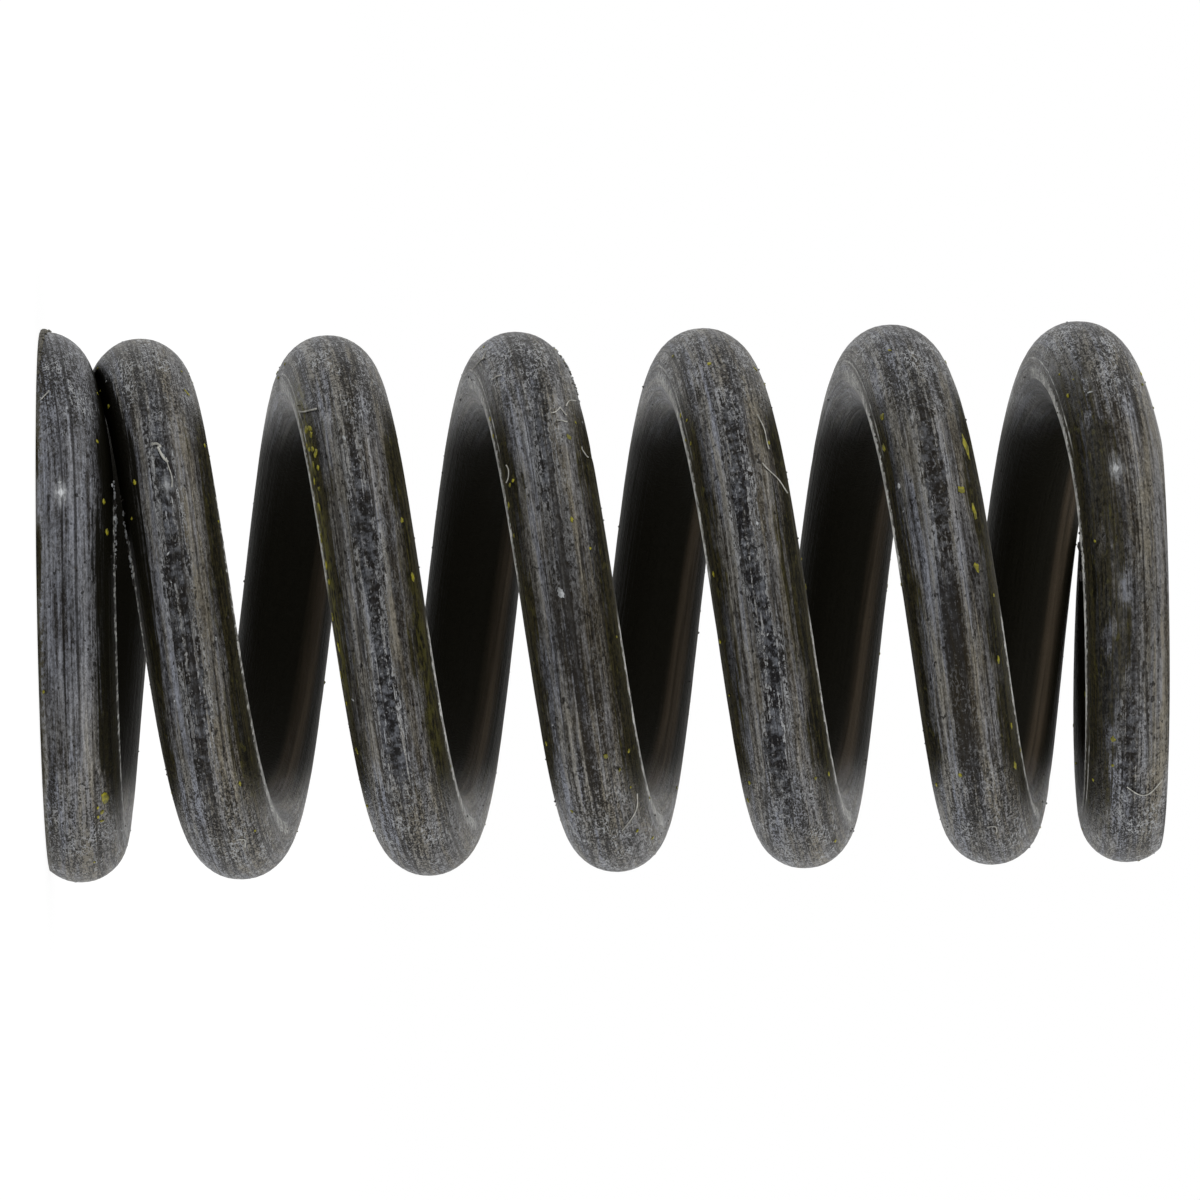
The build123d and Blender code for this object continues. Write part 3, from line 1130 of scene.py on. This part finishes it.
# Fibres: coil, each end by degrees below its front line and degrees around, bow, and thickness
LINT_FIBRES = [
    (1, (-51, -22), (-53, -10), 0.05), (2, (-37, -13), (-36, -4), 0.25, 2.2),
    (2, (-36, -7), (-32, 2), -0.05, 1.9), (2, (-33, 1), (-26, 3), 0.06),
    (2, (58, 16), (62, 24), 0.30), (3, (-55, -72), (-49, -40), -0.05, 1.5),
    (4, (-82, -76), (-75, -52), 0.04), (4, (-75, -52), (-78, -46), 0.50),
    (4, (-62, -54), (-60, -38), 0.12), (4, (-34, -58), (-30, -64), 0.15),
    (4, (-43, 12), (-45, 24), -0.08), (4, (-45, 24), (-43, 31), 0.08),
    (4, (-46, 33), (-50, 52), 0.12), (4, (-41, 17), (-41, 30), 0.10),
    (4, (-35, 46), (-33, 56), 0.05), (4, (50, 54), (58, 24), 0.22),
    (5, (-29, 25), (-23, 60), 0.05), (5, (-42, 30), (-33, 38), 0.10),
    (6, (58, 6), (61, 16), 0.30), (7, (45, -9), (45, 34), -0.36),
]


def fibre_body(line, chance, fibre, diameter, steps=14):
    """A fibre as a thin round tube bent to the wire, with its ends free."""
    thickness = diameter * fibre.thick
    path, points = new_curve("fibre", steps)
    path.bevel_depth = thickness / 2
    path.bevel_resolution = 1
    path.use_fill_caps = True
    laid = zip(fibre.turns, fibre.around)
    start, end = (Vector((turn * line.per_turn(), at * line.wire_radius)) for turn, at in laid)
    span = end - start
    sideways = Vector((-span.y, span.x))
    sway = chance.uniform(-0.03, 0.03)
    for i, point in enumerate(points):
        share = i / (steps - 1)
        bow = fibre.bow * math.sin(share * math.pi) + sway * math.sin(share * math.tau)
        spot = start + span * share + sideways * bow
        lift = thickness * 0.4 + FIBRE_RISE * (share * 2 - 1) ** 4
        point.co = (spot.x, spot.y, lift, 1)
    pick(new_object("fibre", path))
    bpy.ops.object.convert(target="MESH")
    places, faces = take_shape(bpy.context.object)
    turns = places[:, 0] / line.per_turn()
    around = places[:, 1] / line.wire_radius
    return line.surface(turns, around, places[:, 2]), faces


class SPRING_OT_lay_lint(bpy.types.Operator):
    """Lay the cloth fibres on the coils"""

    bl_idname = "spring.lay_lint"
    bl_label = "Lay the lint"

    def execute(self, context):
        dirt, line, chance = scatter_start(context, 5)
        fibres = [coil_fibre(*fibre) for fibre in LINT_FIBRES]
        bodies = [fibre_body(line, chance, fibre, dirt.fibre_diameter) for fibre in fibres]
        shaded = tuple(0.6 * part for part in dirt.lint)
        cloth = speckled_material("lint", dirt.lint, shaded, 0.8, scale=9)
        joined_piece("lint_fibres", bodies, cloth)
        return {"FINISHED"}


def seen_as_white(tree):
    """1 for the camera, in reflections and through glass, and 0 for light that falls on things."""
    rays = tree.node("ShaderNodeLightPath").output.node.outputs
    camera, glossy, through = (
        Wired(tree.tree, rays[f"Is {kind} Ray"]) for kind in ("Camera", "Glossy", "Transmission")
    )
    return tree.math("MAXIMUM", tree.math("MAXIMUM", camera, glossy), through)


def floor_material():
    """Plain pale floor that looks white and keeps a soft shadow. It is clear from below."""
    made, tree, shader = new_material("pale_floor")
    shader.inputs["Base Color"].default_value = (0.80, 0.80, 0.80, 1)
    shader.inputs["Roughness"].default_value = 0.9
    shader.inputs["Specular IOR Level"].default_value = 0
    matt = Wired(tree.tree, shader.outputs[0])
    white = tree.node("ShaderNodeEmission", {"Color": (1, 1, 1, 1), "Strength": 1.2})
    shown = tree.node("ShaderNodeMixShader", {0: seen_as_white(tree) * 0.75, 1: matt, 2: white})
    clear = tree.node("ShaderNodeBsdfTransparent")
    below = tree.node("ShaderNodeNewGeometry", output="Backfacing")
    sided = tree.node("ShaderNodeMixShader", {0: below, 1: shown, 2: clear})
    plug(sided, tree.tree.nodes["Material Output"].inputs["Surface"])
    return made


def room_world(level):
    """Soft even light, and a white backdrop."""
    world = bpy.data.worlds.new("soft_room")
    world.use_nodes = True
    tree = Wired(world.node_tree)
    for node in list(world.node_tree.nodes):
        world.node_tree.nodes.remove(node)
    soft = tree.node("ShaderNodeBackground", {"Color": (1, 1, 1, 1), "Strength": level})
    white = tree.node("ShaderNodeBackground", {"Color": (1, 1, 1, 1), "Strength": 1.0})
    shown = tree.node("ShaderNodeMixShader", {0: seen_as_white(tree), 1: soft, 2: white})
    last = world.node_tree.nodes.new("ShaderNodeOutputWorld")
    world.node_tree.links.new(shown.output, last.inputs["Surface"])
    bpy.context.scene.world = world


def add_lamp(name, place, aim, side, power):
    """A square soft lamp that points at the aim."""
    lamp = bpy.data.lights.new(name, "AREA")
    lamp.size = side
    lamp.energy = power
    shown = new_object(name, lamp)
    direction = Vector(aim) - Vector(place)
    shown.location = place
    shown.rotation_mode = "QUATERNION"
    shown.rotation_quaternion = direction.to_track_quat("-Z", "Y")


def add_camera(stage, middle):
    """The camera as in the photograph: level, and rolled so that the spring lies across it."""
    yaw, tilt = stage.camera_yaw, stage.camera_tilt
    level = Vector((0, -math.sin(yaw), math.cos(yaw)))
    right = level * math.cos(tilt) + Vector((math.sin(tilt), 0, 0))
    up = level * math.sin(tilt) - Vector((math.cos(tilt), 0, 0))
    back = right.cross(up)
    lens = bpy.data.cameras.new("camera")
    lens.lens = stage.camera_lens
    lens.sensor_width = 36
    lens.clip_start = 0.01
    lens.clip_end = 10
    lens.dof.use_dof = False
    camera = new_object("camera", lens)
    place = middle + up * stage.aim_rise + back * stage.camera_distance
    turned = Matrix((right, up, back)).transposed().to_4x4()
    camera.matrix_world = Matrix.Translation(place) @ turned
    bpy.context.scene.camera = camera


class SPRING_OT_set_stage(bpy.types.Operator):
    """Add the floor, the lamps, the room's light and the camera"""

    bl_idname = "spring.set_stage"
    bl_label = "Set the stage"

    def execute(self, context):
        stage = context.scene.spring_stage
        middle = Vector((0, 0, context.scene.spring_sizes.free_length / 2))
        bpy.ops.object.select_all(action="DESELECT")
        bpy.ops.mesh.primitive_plane_add(size=4, location=(0, 0, -0.01 * MM))
        floor = context.object
        floor.name = floor.data.name = "floor"
        floor.data.materials.append(floor_material())
        room_world(stage.room_level)
        add_lamp("lamp_left", (-0.20, -0.10, 0.12), middle, 0.18, stage.side_lamp)
        add_lamp("lamp_right", (0.20, -0.10, 0.12), middle, 0.18, stage.side_lamp)
        add_lamp("lamp_top", (0.0, 0.04, 0.26), middle, 0.20, stage.top_lamp)
        add_camera(stage, middle)
        context.scene.view_settings.view_transform = "Standard"
        return {"FINISHED"}


class SPRING_PT_panel(bpy.types.Panel):
    """Lists what makes the spring, in order"""

    bl_idname = "SPRING_PT_panel"
    bl_label = "Detent spring"
    bl_space_type = "VIEW_3D"
    bl_region_type = "UI"
    bl_category = "Spring"

    def draw(self, context):
        for group in (getattr(context.scene, name) for name in GROUPS):
            box = self.layout.box()
            for name in group.bl_rna.properties.keys():
                if name not in ("rna_type", "name"):
                    box.prop(group, name)
        for step in OPERATORS:
            self.layout.operator(step.bl_idname)


GROUPS = {
    "spring_sizes": SpringSizes,
    "spring_steel": SteelFinish,
    "spring_dirt": DirtFinish,
    "spring_stage": StageSetting,
}
OPERATORS = (
    SPRING_OT_set_stage,
    SPRING_OT_wind_wire,
    SPRING_OT_raise_burr,
    SPRING_OT_drop_grit,
    SPRING_OT_drop_paint,
    SPRING_OT_drop_specks,
    SPRING_OT_lay_lint,
)


def register():
    """Register the settings, the operators and the panel."""
    for made in (*GROUPS.values(), *OPERATORS, SPRING_PT_panel):
        bpy.utils.register_class(made)
    for name, group in GROUPS.items():
        setattr(bpy.types.Scene, name, PointerProperty(type=group))


def unregister():
    """Take the panel, the operators and the settings away again."""
    for name in GROUPS:
        delattr(bpy.types.Scene, name)
    for made in reversed((*GROUPS.values(), *OPERATORS, SPRING_PT_panel)):
        bpy.utils.unregister_class(made)


def main():
    """Make the whole scene, a step at a time."""
    register()
    bpy.ops.spring.set_stage()
    bpy.ops.spring.wind_wire()
    bpy.ops.spring.raise_burr()
    bpy.ops.spring.drop_grit()
    bpy.ops.spring.drop_paint()
    bpy.ops.spring.drop_specks()
    bpy.ops.spring.lay_lint()


if __name__ == "__main__":
    main()
